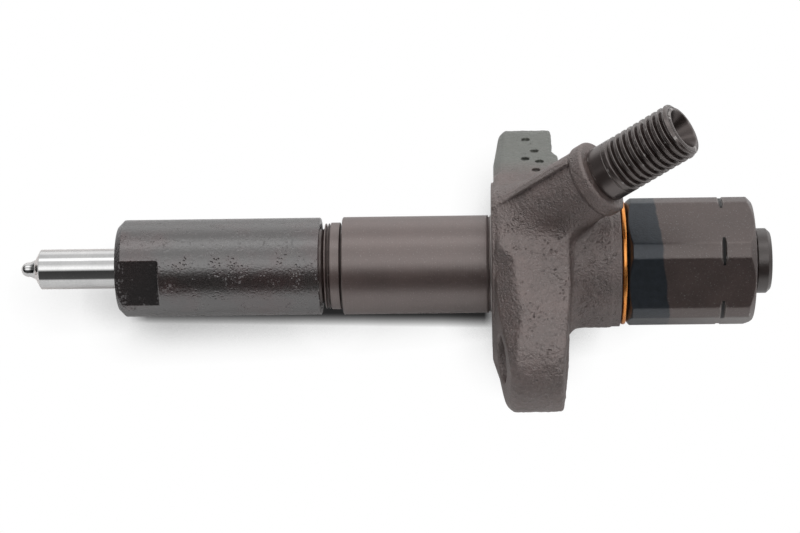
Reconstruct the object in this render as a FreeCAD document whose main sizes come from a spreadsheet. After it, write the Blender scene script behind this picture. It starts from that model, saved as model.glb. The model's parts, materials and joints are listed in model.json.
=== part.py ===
import FreeCAD, Part  # noqa: E401  FreeCAD has to come first
import math
import os

import Sketcher
from FreeCAD import Placement, Rotation, Vector

# A diesel fuel injector: a long-stem hole nozzle in a nozzle nut, on a forged holder with a two-bolt
# flange and a slanted inlet stub, under a hexagon cap nut. Millimetres. +Z runs along the injector
# from the nozzle to the cap. The origin is on that axis, in the plane of the nozzle nut's front face,
# which is the face that seats in the cylinder head. The bolt holes lie along X, the inlet towards -Y.

doc = FreeCAD.newDocument("fuel_injector")

# --------------------------------------------------------------------------- driving dimensions

SIZES = {
    # nozzle
    "nozzle_tip_reach": (22.5, "from the seat face to the tip of the nozzle"),
    "stem_reach": (18.0, "from the seat face to the front edge of the stem"),
    "stem_radius": (4.5, "outside of the nozzle's long stem"),
    "stem_relief_radius": (4.3, "stem where it passes through the nut's front wall"),
    "dimple_radius": (1.62, "the small dome that holds the spray holes"),
    "dimple_root_radius": (2.3, "where the dome's root meets the stem's front cone"),
    "cone_height": (1.15, "height of the stem's front cone"),
    "nozzle_radius": (8.5, "outside of the nozzle's upper part"),
    "nozzle_shoulder_z": (4.0, "underside of the nozzle's upper part"),
    "joint_z": (24.0, "lapped joint between the nozzle and the holder"),
    "guide_radius": (3.0, "needle guide bore"),
    "gallery_radius": (4.1, "fuel gallery"),
    "gallery_low_z": (7.5, "bottom of the gallery"),
    "gallery_high_z": (11.5, "top of the gallery"),
    "needle_bore_radius": (2.35, "bore round the needle's shank"),
    "needle_shank_radius": (1.9, "needle's shank"),
    "running_gap": (0.02, "radial clearance of a running fit"),
    "thread_gap": (0.04, "radial clearance between screwed parts"),
    "seat_z": (-17.6, "top of the needle's conical seat"),
    "seat_height": (2.6, "height of the needle's seat cone"),
    "sac_radius": (0.6, "sac under the seat"),
    "sac_depth": (3.6, "sac's bottom below the top of the seat"),
    "spray_radius": (0.16, "spray hole"),
    "needle_lift": (0.3, "how far the needle opens"),
    "feed_radius_at_joint": (5.1, "feed drillings' distance from the axis at the joint"),
    "feed_hole_radius": (0.8, "feed drilling in the nozzle"),
    "dowel_radius": (0.8, "nozzle dowel"),
    "dowel_circle": (7.0, "dowels' distance from the axis"),
    "dowel_half_length": (2.5, "half a dowel's length"),
    # nozzle nut
    "nut_radius": (10.9, "outside of the nozzle nut"),
    "nut_length": (45.5, "nozzle nut, end to end"),
    "nut_front_chamfer": (1.4, "front edge of the nozzle nut"),
    "nut_rear_chamfer": (0.25, "rear edge of the nozzle nut"),
    "nut_flat_distance": (9.5, "axis to each spanner flat"),
    "nut_flat_length": (9.8, "length of the spanner flats"),
    "nut_flat_angle": (-25.1, "direction of the first flat, from +X"),
    "nut_bore_radius": (8.7, "nut's bore round the nozzle"),
    # holder
    "joint_thread_radius": (9.525, "male thread that carries the nozzle nut"),
    "joint_thread_end_z": (46.9, "where that thread runs out"),
    "band_radius": (9.6, "plain band above the thread"),
    "shank_radius": (10.95, "turned shank that fits the cylinder head"),
    "shank_low_z": (50.45, "lower end of the shank"),
    "clamp_z": (83.7, "underside of the flange's round boss"),
    "shank_land": (0.3, "full-size land between the relief groove and the boss"),
    "shank_groove_height": (0.4, "relief groove under the boss"),
    "shank_groove_depth": (0.35, "depth of that groove"),
    "hub_radius": (18.2, "round boss and hub of the flange"),
    "ear_centre": (28.575, "bolt hole's distance from the axis, half of 2 1/4 in"),
    "ear_radius": (10.9, "round end of each ear"),
    "ear_low_z": (84.0, "underside of the ears where they leave the boss"),
    "ear_high_z": (98.5, "top of the flange"),
    "ear_slope": (4.5, "angle of the ears' underside"),
    "bolt_hole_radius": (5.0, "bolt hole"),
    "neck_radius": (14.6, "upper neck, under the cap washer"),
    "neck_fillet": (3.5, "fillet between the flange and the neck"),
    "neck_top_z": (112.3, "seat of the cap washer"),
    "spigot_radius": (10.0, "male thread that carries the cap nut"),
    "spigot_top_z": (126.2, "top of the holder"),
    "spindle_bore_radius": (2.3, "bore round the spindle"),
    "chamber_radius": (5.6, "spring chamber"),
    "chamber_low_z": (87.7, "floor of the spring chamber"),
    "adjuster_radius": (6.0, "adjusting screw"),
    "adjuster_thread_z": (113.7, "lower end of the adjusting screw's thread"),
    "passage_radius": (1.1, "high-pressure drillings in the holder"),
    # inlet
    "inlet_angle": (39.2, "between the stub's axis and the injector's"),
    "inlet_crossing_z": (74.9, "where the stub's axis meets the injector's"),
    "inlet_boss_radius": (8.3, "forged boss round the stub"),
    "inlet_boss_start": (18.0, "start of the boss along the stub's axis"),
    "inlet_boss_end": (42.7, "end of the boss along the stub's axis"),
    "inlet_turned_length": (2.1, "turned end of the boss"),
    "inlet_turned_radius": (7.6, "outer radius of the boss's end face"),
    "stub_foot_radius": (6.35, "plain foot of the stub, 1/2 in across"),
    "stub_foot_end": (45.9, "end of the plain foot along the stub's axis"),
    "stub_radius": (6.18, "crest of the stub's thread, nominally 1/2 in"),
    "stub_end": (63.9, "end of the stub along its axis"),
    "stub_relief": (0.3, "relief groove at the foot of the stub"),
    "stub_chamfer": (0.85, "chamfer at the end of the stub"),
    "stub_pitch": (1.5875, "16 threads an inch"),
    "stub_thread_depth": (0.95, "depth of the thread's groove"),
    "stub_thread_length": (17.2, "threaded length"),
    "inlet_mouth_radius": (4.4, "mouth of the 60 degree pipe seat"),
    "inlet_bore_radius": (2.6, "bore that holds the edge filter"),
    "inlet_bore_bottom": (36.0, "bottom of that bore along the stub's axis"),
    "filter_length": (20.0, "edge filter"),
    # cap end
    "washer_thickness": (1.1, "cap washer"),
    "washer_radius": (13.9, "outside of the cap washer"),
    "cap_length": (28.1, "cap nut, end to end"),
    "cap_radius": (14.7, "round bar that the cap nut is cut from"),
    "cap_flat_distance": (13.5, "axis to each flat, half of 27 across flats"),
    "cap_flat_angle": (35.2, "direction of the first flat, from +X"),
    "cap_bore_radius": (10.04, "cap nut's threaded bore"),
    "cap_wall": (3.8, "end wall of the cap nut"),
    "cap_chamfer": (1.0, "turned chamfer on both ends of the cap nut"),
    "cap_notch_z": (134.3, "identification notches round the corners"),
    "cap_notch_width": (0.9, "width of the notches"),
    "cap_notch_radius": (14.29, "bottom of the notches"),
    "port_washer_thickness": (0.9, "washer under the leak-off adaptor"),
    "adaptor_radius": (7.25, "collar of the leak-off adaptor"),
    "adaptor_top_z": (145.7, "top of the leak-off adaptor"),
    "adaptor_screw_radius": (5.0, "adaptor's screwed spigot"),
    "adaptor_low_z": (136.3, "lower end of the adaptor"),
    "port_radius": (3.5, "leak-off port"),
    "port_depth": (6.5, "depth of the leak-off port"),
    "leak_hole_radius": (1.5, "leak-off drilling"),
    # spring and its seats
    "spring_mean_radius": (4.1, "spring, axis to wire centre"),
    "wire_radius": (1.1, "spring wire"),
    "spring_low_z": (91.7, "lower end of the spring"),
    "spring_high_z": (112.2, "upper end of the spring"),
    "spring_turns": (6.5, "working turns"),
    "seat_radius": (5.35, "spring seats"),
    "seat_thickness": (1.5, "flange of each spring seat"),
    "seat_pilot_radius": (2.7, "pilot inside the spring"),
    "spindle_radius": (2.0, "spindle"),
    "adjuster_top_z": (133.7, "top of the adjusting screw"),
    "lock_nut_height": (5.0, "lock nut"),
    "lock_nut_flat_distance": (8.0, "axis to each flat of the lock nut"),
}

sheet = doc.addObject("Spreadsheet::Sheet", "Sizes")
for row, (alias, (value, note)) in enumerate(SIZES.items(), start=1):
    sheet.set(f"A{row}", note)
    sheet.set(f"B{row}", str(value))
    sheet.setAlias(f"B{row}", alias)
doc.recompute()


class Size:
    """A size worked out from the sheet: its value now, and the expression that keeps it bound."""

    def __init__(self, value, text=None):
        self.value = float(value)
        self.text = text if text is not None else repr(float(value))

    @staticmethod
    def of(other):
        return other if isinstance(other, Size) else Size(other)

    def __add__(self, other):
        other = Size.of(other)
        return Size(self.value + other.value, f"({self.text} + {other.text})")

    def __sub__(self, other):
        other = Size.of(other)
        return Size(self.value - other.value, f"({self.text} - {other.text})")

    def __mul__(self, other):
        other = Size.of(other)
        return Size(self.value * other.value, f"({self.text} * {other.text})")

    def __truediv__(self, other):
        other = Size.of(other)
        return Size(self.value / other.value, f"({self.text} / {other.text})")

    def __radd__(self, other):
        return Size.of(other) + self

    def __rsub__(self, other):
        return Size.of(other) - self

    def __rmul__(self, other):
        return Size.of(other) * self

    def __neg__(self):
        return Size(-self.value, f"(-1 * {self.text})")


class Sheet:
    """The sheet's cells as sizes, by alias: cell.nut_radius."""

    def __getattr__(self, alias):
        return Size(SIZES[alias][0], f"Sizes.{alias}")


def sine(angle):
    return Size(math.sin(math.radians(angle.value)), f"sin({angle.text} * 1deg)")


def tangent(angle):
    return Size(math.tan(math.radians(angle.value)), f"tan({angle.text} * 1deg)")


cell = Sheet()
ZERO = Size(0)
FULL_TURN = 360.0

# --------------------------------------------------------------------------- modelling helpers

parts = []


def new_body(label):
    body = doc.addObject("PartDesign::Body", label)
    body.Label = label
    parts.append(body)
    return body


def origin_plane(body, role):
    return next(f for f in body.Origin.OriginFeatures if f.Role == role)


def new_sketch(body, role, height=None, turn=None, shift=None):
    """A sketch on one of the body's origin planes, raised by height, or shifted and turned in the plane."""
    sketch = body.newObject("Sketcher::SketchObject", f"{body.Label}_sketch")
    sketch.AttachmentSupport = [(origin_plane(body, role), "")]
    sketch.MapMode = "FlatFace"
    if height is not None:
        sketch.AttachmentOffset = Placement(Vector(0, 0, height.value), Rotation())
        sketch.setExpression("AttachmentOffset.Base.z", height.text)
    if turn is not None:
        base = Vector(0, shift.value if shift else 0, 0)
        sketch.AttachmentOffset = Placement(base, Rotation(Vector(0, 0, 1), turn.value))
        sketch.setExpression("AttachmentOffset.Rotation.Angle", turn.text)
        if shift:
            sketch.setExpression("AttachmentOffset.Base.y", shift.text)
    return sketch


def constrain(sketch, kind, where, size, name):
    index = sketch.addConstraint(Sketcher.Constraint(kind, *where, size.value))
    sketch.renameConstraint(index, name)
    sketch.setExpression(f"Constraints.{name}", size.text)


def arc_between(start, end, radius, bulge):
    """An arc from start to end. bulge is +1 if it lies to the right of the line, -1 if to the left."""
    chord = end - start
    to_left = Vector(-chord.y, chord.x, 0).normalize()
    centre_distance = math.sqrt(max(radius**2 - (chord.Length / 2) ** 2, 0.0))
    centre = (start + end) * 0.5 + to_left * bulge * centre_distance
    first, last = (start, end) if bulge > 0 else (end, start)
    angles = [math.atan2(point.y - centre.y, point.x - centre.x) for point in (first, last)]
    return Part.ArcOfCircle(Part.Circle(centre, Vector(0, 0, 1), radius), *angles)


def outline(sketch, corners):
    """Draws a closed outline. A corner is (x, y), or (x, y, radius, bulge) to reach it by an arc."""
    points = [Vector(Size.of(c[0]).value, Size.of(c[1]).value, 0) for c in corners]
    first = len(sketch.Geometry)
    finish_ends = []
    for i, corner in enumerate(corners):
        if len(corner) == 4:
            radius, bulge = Size.of(corner[2]), corner[3]
            sketch.addGeometry(arc_between(points[i - 1], points[i], radius.value, bulge))
            finish_ends.append(2 if bulge > 0 else 1)
        else:
            sketch.addGeometry(Part.LineSegment(points[i - 1], points[i]))
            finish_ends.append(2)
    for i in range(len(corners)):
        after = (i + 1) % len(corners)
        meet = (first + i, finish_ends[i], first + after, 3 - finish_ends[after])
        sketch.addConstraint(Sketcher.Constraint("Coincident", *meet))
    for i, corner in enumerate(corners):
        tag = f"corner{first}_{i}"
        place = (-1, 1, first + i, finish_ends[i])
        constrain(sketch, "DistanceX", place, Size.of(corner[0]), tag + "_x")
        constrain(sketch, "DistanceY", place, Size.of(corner[1]), tag + "_y")
        if len(corner) == 4:
            constrain(sketch, "Radius", (first + i,), Size.of(corner[2]), tag + "_radius")


def circle(sketch, x, y, radius):
    index = sketch.addGeometry(Part.Circle(Vector(x.value, y.value, 0), Vector(0, 0, 1), radius.value))
    constrain(sketch, "DistanceX", (-1, 1, index, 3), x, f"circle{index}_x")
    constrain(sketch, "DistanceY", (-1, 1, index, 3), y, f"circle{index}_y")
    constrain(sketch, "Radius", (index,), radius, f"circle{index}_radius")


def feature(body, kind, sketch, **settings):
    made = body.newObject(f"PartDesign::{kind}", f"{body.Label}_{kind.lower()}")
    made.Profile = sketch
    sketch.Visibility = False
    for name, value in settings.items():
        if isinstance(value, Size):
            setattr(made, name, value.value)
            made.setExpression(name, value.text)
        else:
            setattr(made, name, value)
    body.Tip = made
    return made


def turned(body, corners, kind="Revolution", role="XZ_Plane", turn=None, shift=None):
    """Revolves an outline, given as (radius, height) corners, round the sketch's upright axis."""
    sketch = new_sketch(body, role, turn=turn, shift=shift)
    outline(sketch, corners)
    return feature(body, kind, sketch, ReferenceAxis=(sketch, ["V_Axis"]), Angle=FULL_TURN)


def tube(inner, low, outer, high):
    """The outline of a ring."""
    return [(inner, low), (outer, low), (outer, high), (inner, high)]


def rod(radius, low, high):
    """The outline of a solid cylinder."""
    return tube(ZERO, low, radius, high)


def cut_upwards(body, height, length, circles):
    """Drills round holes that start at a height and run along +Z."""
    sketch = new_sketch(body, "XY_Plane", height=height)
    for x, y, radius in circles:
        circle(sketch, x, y, radius)
    return feature(body, "Pocket", sketch, Length=length, Reversed=True)


def polar(body, original, count):
    pattern = body.newObject("PartDesign::PolarPattern", f"{body.Label}_pattern")
    pattern.Originals = [original]
    pattern.Axis = (origin_axis(body, "Z_Axis"), [""])
    pattern.Angle = FULL_TURN
    pattern.Occurrences = count
    body.Tip = pattern
    return pattern


def origin_axis(body, role):
    return next(f for f in body.Origin.OriginFeatures if f.Role == role)


def flats(body, low, height, distance, reach, angle, count):
    """Cuts flats at a distance from the axis, the first one facing angle from +X."""
    sketch = new_sketch(body, "XY_Plane", height=low)
    sketch.AttachmentOffset = Placement(
        Vector(0, 0, low.value), Rotation(Vector(0, 0, 1), angle.value)
    )
    sketch.setExpression("AttachmentOffset.Rotation.Angle", angle.text)
    outline(sketch, tube(distance, -reach, reach, reach))
    cut = feature(body, "Pocket", sketch, Length=height, Reversed=True)
    return polar(body, cut, count)


# --------------------------------------------------------------------------- nozzle


def make_nozzle_body():
    body = new_body("nozzle_body")
    tip = -cell.nozzle_tip_reach
    stem_end = -cell.stem_reach
    dome_centre = tip + cell.dimple_radius
    root = stem_end - cell.cone_height
    turned(
        body,
        [
            (ZERO, tip),
            (cell.dimple_radius, dome_centre, cell.dimple_radius, 1),
            (cell.dimple_radius, root - 0.6),
            (cell.dimple_root_radius, root, 0.9, -1),
            (cell.stem_radius - 0.15, stem_end - 0.1),
            (cell.stem_radius, stem_end + 0.15),
            (cell.stem_radius, ZERO),
            (cell.stem_relief_radius, ZERO),
            (cell.stem_relief_radius, cell.nozzle_shoulder_z),
            (cell.nozzle_radius - 0.4, cell.nozzle_shoulder_z),
            (cell.nozzle_radius, cell.nozzle_shoulder_z + 0.4),
            (cell.nozzle_radius, cell.joint_z - 0.3),
            (cell.nozzle_radius - 0.3, cell.joint_z),
            (ZERO, cell.joint_z),
        ],
    )
    # The bore: guide, gallery, long bore round the needle's shank, seat cone and sac.
    turned(
        body,
        [
            (ZERO, cell.seat_z - cell.sac_depth),
            (cell.sac_radius, cell.seat_z - cell.sac_depth + cell.sac_radius, cell.sac_radius, 1),
            (cell.sac_radius, cell.seat_z - cell.seat_height),
            (cell.needle_bore_radius, cell.seat_z),
            (cell.needle_bore_radius, cell.gallery_low_z),
            (cell.gallery_radius, cell.gallery_low_z + 1),
            (cell.gallery_radius, cell.gallery_high_z - 1),
            (cell.guide_radius, cell.gallery_high_z),
            (cell.guide_radius, cell.joint_z),
            (ZERO, cell.joint_z),
        ],
        kind="Groove",
    )
    # Fuel comes in through an annular groove in the lapped face.
    groove_depth = 0.7
    turned(
        body,
        tube(
            cell.feed_radius_at_joint - 0.6,
            cell.joint_z - groove_depth,
            cell.feed_radius_at_joint + 0.6,
            cell.joint_z,
        ),
        kind="Groove",
    )
    feed = cut_upwards(
        body,
        cell.gallery_high_z - 2.6,
        cell.joint_z - cell.gallery_high_z + 2.6,
        [(ZERO, cell.feed_radius_at_joint - 0.45, cell.feed_hole_radius)],
    )
    polar(body, feed, 3)
    cut_upwards(
        body,
        cell.joint_z - cell.dowel_half_length,
        cell.dowel_half_length,
        [
            (cell.dowel_circle, ZERO, cell.dowel_radius),
            (-cell.dowel_circle, ZERO, cell.dowel_radius),
        ],
    )
    # Four spray holes fan out of the sac through the dome.
    spray_angle = Size(-110)
    sketch = new_sketch(body, "YZ_Plane", turn=spray_angle, shift=dome_centre)
    outline(sketch, rod(cell.spray_radius, ZERO, cell.dimple_radius * 2))
    spray = feature(body, "Groove", sketch, ReferenceAxis=(sketch, ["V_Axis"]), Angle=FULL_TURN)
    polar(body, spray, 4)
    return body


def make_nozzle_needle():
    body = new_body("nozzle_needle")
    guide = cell.guide_radius - cell.running_gap
    top = cell.joint_z - cell.needle_lift - 0.02
    seat_gap = 0.05
    slope = (cell.needle_bore_radius - cell.sac_radius) / cell.seat_height
    low = cell.seat_z - cell.seat_height + seat_gap
    shank = cell.needle_shank_radius
    turned(
        body,
        [
            (ZERO, low - 0.5),
            (cell.sac_radius - 0.15, low - 0.1),
            (shank, low - 0.1 + (shank - cell.sac_radius + 0.15) / slope),
            (shank, cell.gallery_low_z),
            (guide, cell.gallery_low_z + 1.6),
            (guide, top),
            (Size(1.6), top),
            (Size(1.6), top + 2.5),
            (ZERO, top + 2.5),
        ],
    )
    return body


def make_nozzle_dowels():
    """Two pins that line the nozzle's fuel groove up with the holder."""
    low = cell.joint_z - cell.dowel_half_length + 0.1
    pins = []
    for side in (1, -1):
        pin = doc.addObject("Part::Cylinder", "nozzle_dowel")
        pin.setExpression("Radius", (cell.dowel_radius - cell.running_gap).text)
        pin.setExpression("Height", (cell.dowel_half_length * 2 - 0.2).text)
        pin.setExpression("Placement.Base.x", (cell.dowel_circle * side).text)
        pin.setExpression("Placement.Base.z", low.text)
        pins.append(pin)
    group = doc.addObject("Part::Compound", "nozzle_dowels")
    group.Links = pins
    group.Label = "nozzle_dowels"
    parts.append(group)
    return group


def make_nozzle_nut():
    body = new_body("nozzle_nut")
    chamfer, rear = cell.nut_front_chamfer, cell.nut_rear_chamfer
    stem_hole = cell.stem_radius + 0.15
    thread_bore = cell.joint_thread_radius + cell.thread_gap
    turned(
        body,
        [
            (stem_hole, ZERO),
            (cell.nut_radius - chamfer, ZERO),
            (cell.nut_radius, chamfer),
            (cell.nut_radius, cell.nut_length - rear),
            (cell.nut_radius - rear, cell.nut_length),
            (thread_bore + 0.5, cell.nut_length),
            (thread_bore, cell.nut_length - 0.5),
            (thread_bore, cell.joint_z - 1.5),
            (cell.nut_bore_radius, cell.joint_z - 1.5),
            (cell.nut_bore_radius, cell.nozzle_shoulder_z),
            (stem_hole, cell.nozzle_shoulder_z),
        ],
    )
    flats(
        body,
        -Size(0.5),
        cell.nut_flat_length + 0.5,
        cell.nut_flat_distance,
        Size(15),
        cell.nut_flat_angle,
        2,
    )
    return body


# --------------------------------------------------------------------------- holder


def ear_outline(sketch):
    """The flange's outline: a round hub and two round ends, joined by straight tangents."""
    hub, end, reach = cell.hub_radius.value, cell.ear_radius.value, cell.ear_centre.value
    lean = math.asin((hub - end) / reach)
    up = Vector(0, 0, 1)

    def arc(x, radius, start, finish):
        rim = Part.Circle(Vector(x, 0, 0), up, radius)
        return sketch.addGeometry(Part.ArcOfCircle(rim, start, finish))

    quarter = math.pi / 2
    right = arc(reach, end, -quarter + lean, quarter - lean)
    top = arc(0, hub, quarter - lean, quarter + lean)
    left = arc(-reach, end, quarter + lean, 3 * quarter - lean)
    bottom = arc(0, hub, 3 * quarter - lean, 3 * quarter + lean)
    ring = [right, top, left, bottom]
    for i, before in enumerate(ring):
        after = ring[(i + 1) % len(ring)]
        start = sketch.Geometry[before].EndPoint
        finish = sketch.Geometry[after].StartPoint
        side = sketch.addGeometry(Part.LineSegment(start, finish))
        sketch.addConstraint(Sketcher.Constraint("Tangent", before, 2, side, 1))
        sketch.addConstraint(Sketcher.Constraint("Tangent", side, 2, after, 1))
    for arc_index in (top, bottom):
        sketch.addConstraint(Sketcher.Constraint("Coincident", arc_index, 3, -1, 1))
    for arc_index, side in ((right, 1), (left, -1)):
        sketch.addConstraint(Sketcher.Constraint("PointOnObject", arc_index, 3, -1))
        place = (-1, 1, arc_index, 3)
        constrain(sketch, "DistanceX", place, cell.ear_centre * side, f"ear{arc_index}_x")
        constrain(sketch, "Radius", (arc_index,), cell.ear_radius, f"ear{arc_index}_radius")
    constrain(sketch, "Radius", (top,), cell.hub_radius, "hub_radius")
    sketch.addConstraint(Sketcher.Constraint("Equal", top, bottom))


def holder_turning(body):
    """The turned core: joint thread, band, shank, round boss, neck and upper spigot."""
    shank, groove = cell.shank_radius, cell.shank_radius - cell.shank_groove_depth
    land_z = cell.clamp_z - cell.shank_land
    groove_z = land_z - cell.shank_groove_height
    turned(
        body,
        [
            (ZERO, cell.joint_z),
            (cell.joint_thread_radius - 0.7, cell.joint_z),
            (cell.joint_thread_radius, cell.joint_z + 0.7),
            (cell.joint_thread_radius, cell.joint_thread_end_z),
            (cell.band_radius, cell.joint_thread_end_z + 0.2),
            (cell.band_radius, cell.shank_low_z - 0.6),
            (cell.band_radius - 0.35, cell.shank_low_z - 0.5),
            (cell.band_radius - 0.35, cell.shank_low_z),
            (shank - 0.2, cell.shank_low_z),
            (shank, cell.shank_low_z + 0.2),
            (shank, groove_z),
            (groove, groove_z),
            (groove, land_z),
            (shank, land_z),
            (shank, cell.clamp_z),
            (cell.hub_radius - 0.4, cell.clamp_z),
            (cell.hub_radius, cell.clamp_z + 0.4),
            (cell.hub_radius, cell.ear_high_z),
            (cell.neck_radius + cell.neck_fillet, cell.ear_high_z),
            (cell.neck_radius, cell.ear_high_z + cell.neck_fillet, cell.neck_fillet, -1),
            (cell.neck_radius, cell.neck_top_z),
            (cell.spigot_radius - 0.5, cell.neck_top_z),
            (cell.spigot_radius - 0.5, cell.neck_top_z + 1.2),
            (cell.spigot_radius, cell.neck_top_z + 1.7),
            (cell.spigot_radius, cell.spigot_top_z - 0.8),
            (cell.spigot_radius - 0.8, cell.spigot_top_z),
            (ZERO, cell.spigot_top_z),
        ],
    )


def holder_flange(body):
    """Two ears, their undersides sloped back from the boss, with a bolt hole in each."""
    sketch = new_sketch(body, "XY_Plane", height=cell.ear_low_z)
    ear_outline(sketch)
    feature(body, "Pad", sketch, Length=cell.ear_high_z - cell.ear_low_z)
    tip = cell.ear_centre + cell.ear_radius + 2
    start = cell.hub_radius - 0.5
    rise = (tip - start) * tangent(cell.ear_slope)
    for side in (1, -1):
        sketch = new_sketch(body, "XZ_Plane")
        outline(
            sketch,
            [
                (start * side, cell.ear_low_z),
                (tip * side, cell.ear_low_z - 1),
                (tip * side, cell.ear_low_z + rise),
            ],
        )
        feature(body, "Pocket", sketch, Length=cell.hub_radius * 4, Midplane=True)
    holes = [(cell.ear_centre * side, ZERO, cell.bolt_hole_radius) for side in (1, -1)]
    cut_upwards(body, cell.clamp_z, cell.ear_high_z - cell.clamp_z + 1, holes)


def holder_inlet(body):
    """The slanted inlet: a forged boss with a turned end, and the stub that stands out of it."""
    on_stub = {"role": "YZ_Plane", "turn": cell.inlet_angle, "shift": cell.inlet_crossing_z}
    boss_end = cell.inlet_boss_end
    turn_start = boss_end - cell.inlet_turned_length
    relief = cell.stub_foot_radius - cell.stub_relief
    turned(
        body,
        [
            (ZERO, cell.inlet_boss_start),
            (cell.inlet_boss_radius, cell.inlet_boss_start),
            (cell.inlet_boss_radius, turn_start),
            (cell.inlet_turned_radius, boss_end),
            (relief, boss_end),
            (relief, boss_end + 0.6),
            (cell.stub_foot_radius, boss_end + 0.9),
            (cell.stub_foot_radius, cell.stub_foot_end),
            (cell.stub_radius, cell.stub_foot_end + 0.2),
            (cell.stub_radius, cell.stub_end - cell.stub_chamfer),
            (cell.stub_radius - cell.stub_chamfer, cell.stub_end),
            (ZERO, cell.stub_end),
        ],
        **on_stub,
    )
    cone_depth = (cell.inlet_mouth_radius - cell.inlet_bore_radius) * math.sqrt(3)
    meets = cell.feed_radius_at_joint / sine(cell.inlet_angle)
    turned(
        body,
        [
            (ZERO, meets - 1.4),
            (cell.passage_radius, meets - 1.4),
            (cell.passage_radius, cell.inlet_bore_bottom),
            (cell.inlet_bore_radius, cell.inlet_bore_bottom),
            (cell.inlet_bore_radius, cell.stub_end - cone_depth),
            (cell.inlet_mouth_radius, cell.stub_end),
            (ZERO, cell.stub_end),
        ],
        kind="Groove",
        **on_stub,
    )


def holder_bores(body):
    """Spindle bore, spring chamber, the adjusting screw's bore, the fuel passage and the dowel holes."""
    thread = cell.adjuster_radius + cell.thread_gap
    turned(
        body,
        [
            (ZERO, cell.joint_z),
            (cell.spindle_bore_radius, cell.joint_z),
            (cell.spindle_bore_radius, cell.chamber_low_z - 0.8),
            (cell.chamber_radius, cell.chamber_low_z),
            (cell.chamber_radius, cell.adjuster_thread_z),
            (thread, cell.adjuster_thread_z),
            (thread, cell.spigot_top_z),
            (ZERO, cell.spigot_top_z),
        ],
        kind="Groove",
    )
    drop = cell.feed_radius_at_joint / tangent(cell.inlet_angle)
    cut_upwards(
        body,
        cell.joint_z,
        cell.inlet_crossing_z - cell.joint_z + drop,
        [(ZERO, -cell.feed_radius_at_joint, cell.passage_radius)],
    )
    cut_upwards(
        body,
        cell.joint_z,
        cell.dowel_half_length,
        [
            (cell.dowel_circle, ZERO, cell.dowel_radius),
            (-cell.dowel_circle, ZERO, cell.dowel_radius),
        ],
    )


def thread(body, radius, depth, pitch, low, length, **where):
    """Cuts a right-hand V thread, with a flat crest and a narrow flat root."""
    sketch = new_sketch(body, **where)
    half = pitch * 0.4
    outline(
        sketch,
        [
            (radius + 0.12, low - half),
            (radius + 0.12, low + half),
            (radius - depth, low + pitch * 0.09),
            (radius - depth, low - pitch * 0.09),
        ],
    )
    helix = body.newObject("PartDesign::SubtractiveHelix", f"{body.Label}_thread")
    helix.Profile = sketch
    helix.ReferenceAxis = (sketch, ["V_Axis"])
    helix.Mode = "pitch-height-angle"
    helix.Pitch = pitch.value
    helix.setExpression("Pitch", pitch.text)
    helix.Height = length.value
    helix.setExpression("Height", length.text)
    helix.Angle = 0
    helix.LeftHanded = False
    helix.Reversed = False
    sketch.Visibility = False
    body.Tip = helix
    return helix


def make_holder_body():
    body = new_body("holder_body")
    holder_turning(body)
    holder_flange(body)
    holder_inlet(body)
    holder_bores(body)
    thread(
        body,
        cell.stub_radius,
        cell.stub_thread_depth,
        cell.stub_pitch,
        cell.stub_end - cell.stub_thread_length,
        cell.stub_thread_length + cell.stub_pitch * 0.5,
        role="YZ_Plane",
        turn=cell.inlet_angle,
        shift=cell.inlet_crossing_z,
    )
    return body


def make_edge_filter():
    """A bar with flats that strains the fuel between its edges and the bore."""
    body = new_body("edge_filter")
    on_stub = {"role": "YZ_Plane", "turn": cell.inlet_angle, "shift": cell.inlet_crossing_z}
    low = cell.inlet_bore_bottom + 0.5
    high = low + cell.filter_length
    turned(
        body,
        [
            (ZERO, low),
            (cell.inlet_bore_radius - 0.5, low),
            (cell.inlet_bore_radius - cell.running_gap, low + 0.5),
            (cell.inlet_bore_radius - cell.running_gap, high - 1.2),
            (cell.inlet_bore_radius - 0.6, high),
            (ZERO, high),
        ],
        **on_stub,
    )
    return body


# --------------------------------------------------------------------------- spring train


def make_spindle():
    body = new_body("spindle")
    low = cell.joint_z - cell.needle_lift - 0.02
    high = cell.spring_low_z - cell.seat_thickness
    turned(
        body,
        [
            (ZERO, low + 2.5),
            (Size(1.65), low + 2.5),
            (Size(1.65), low + 1.2),
            (cell.spindle_radius - 0.05, low + 1.2),
            (cell.spindle_radius, low + 1.6),
            (cell.spindle_radius, high - 0.8),
            (Size(1.2), high),
            (ZERO, high),
        ],
    )
    return body


def make_lower_spring_seat():
    body = new_body("lower_spring_seat")
    low = cell.spring_low_z - cell.seat_thickness
    turned(
        body,
        [
            (ZERO, low),
            (cell.seat_radius - 0.3, low),
            (cell.seat_radius, low + 0.3),
            (cell.seat_radius, cell.spring_low_z),
            (cell.seat_pilot_radius, cell.spring_low_z),
            (cell.seat_pilot_radius - 0.5, cell.spring_low_z + 2.5),
            (ZERO, cell.spring_low_z + 2.5),
        ],
    )
    return body


def make_upper_spring_seat():
    body = new_body("upper_spring_seat")
    high = cell.spring_high_z + cell.seat_thickness
    turned(
        body,
        [
            (cell.leak_hole_radius, cell.spring_high_z - 2.5),
            (cell.seat_pilot_radius - 0.5, cell.spring_high_z - 2.5),
            (cell.seat_pilot_radius, cell.spring_high_z),
            (cell.seat_radius, cell.spring_high_z),
            (cell.seat_radius, high),
            (cell.leak_hole_radius, high),
        ],
    )
    return body


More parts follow.
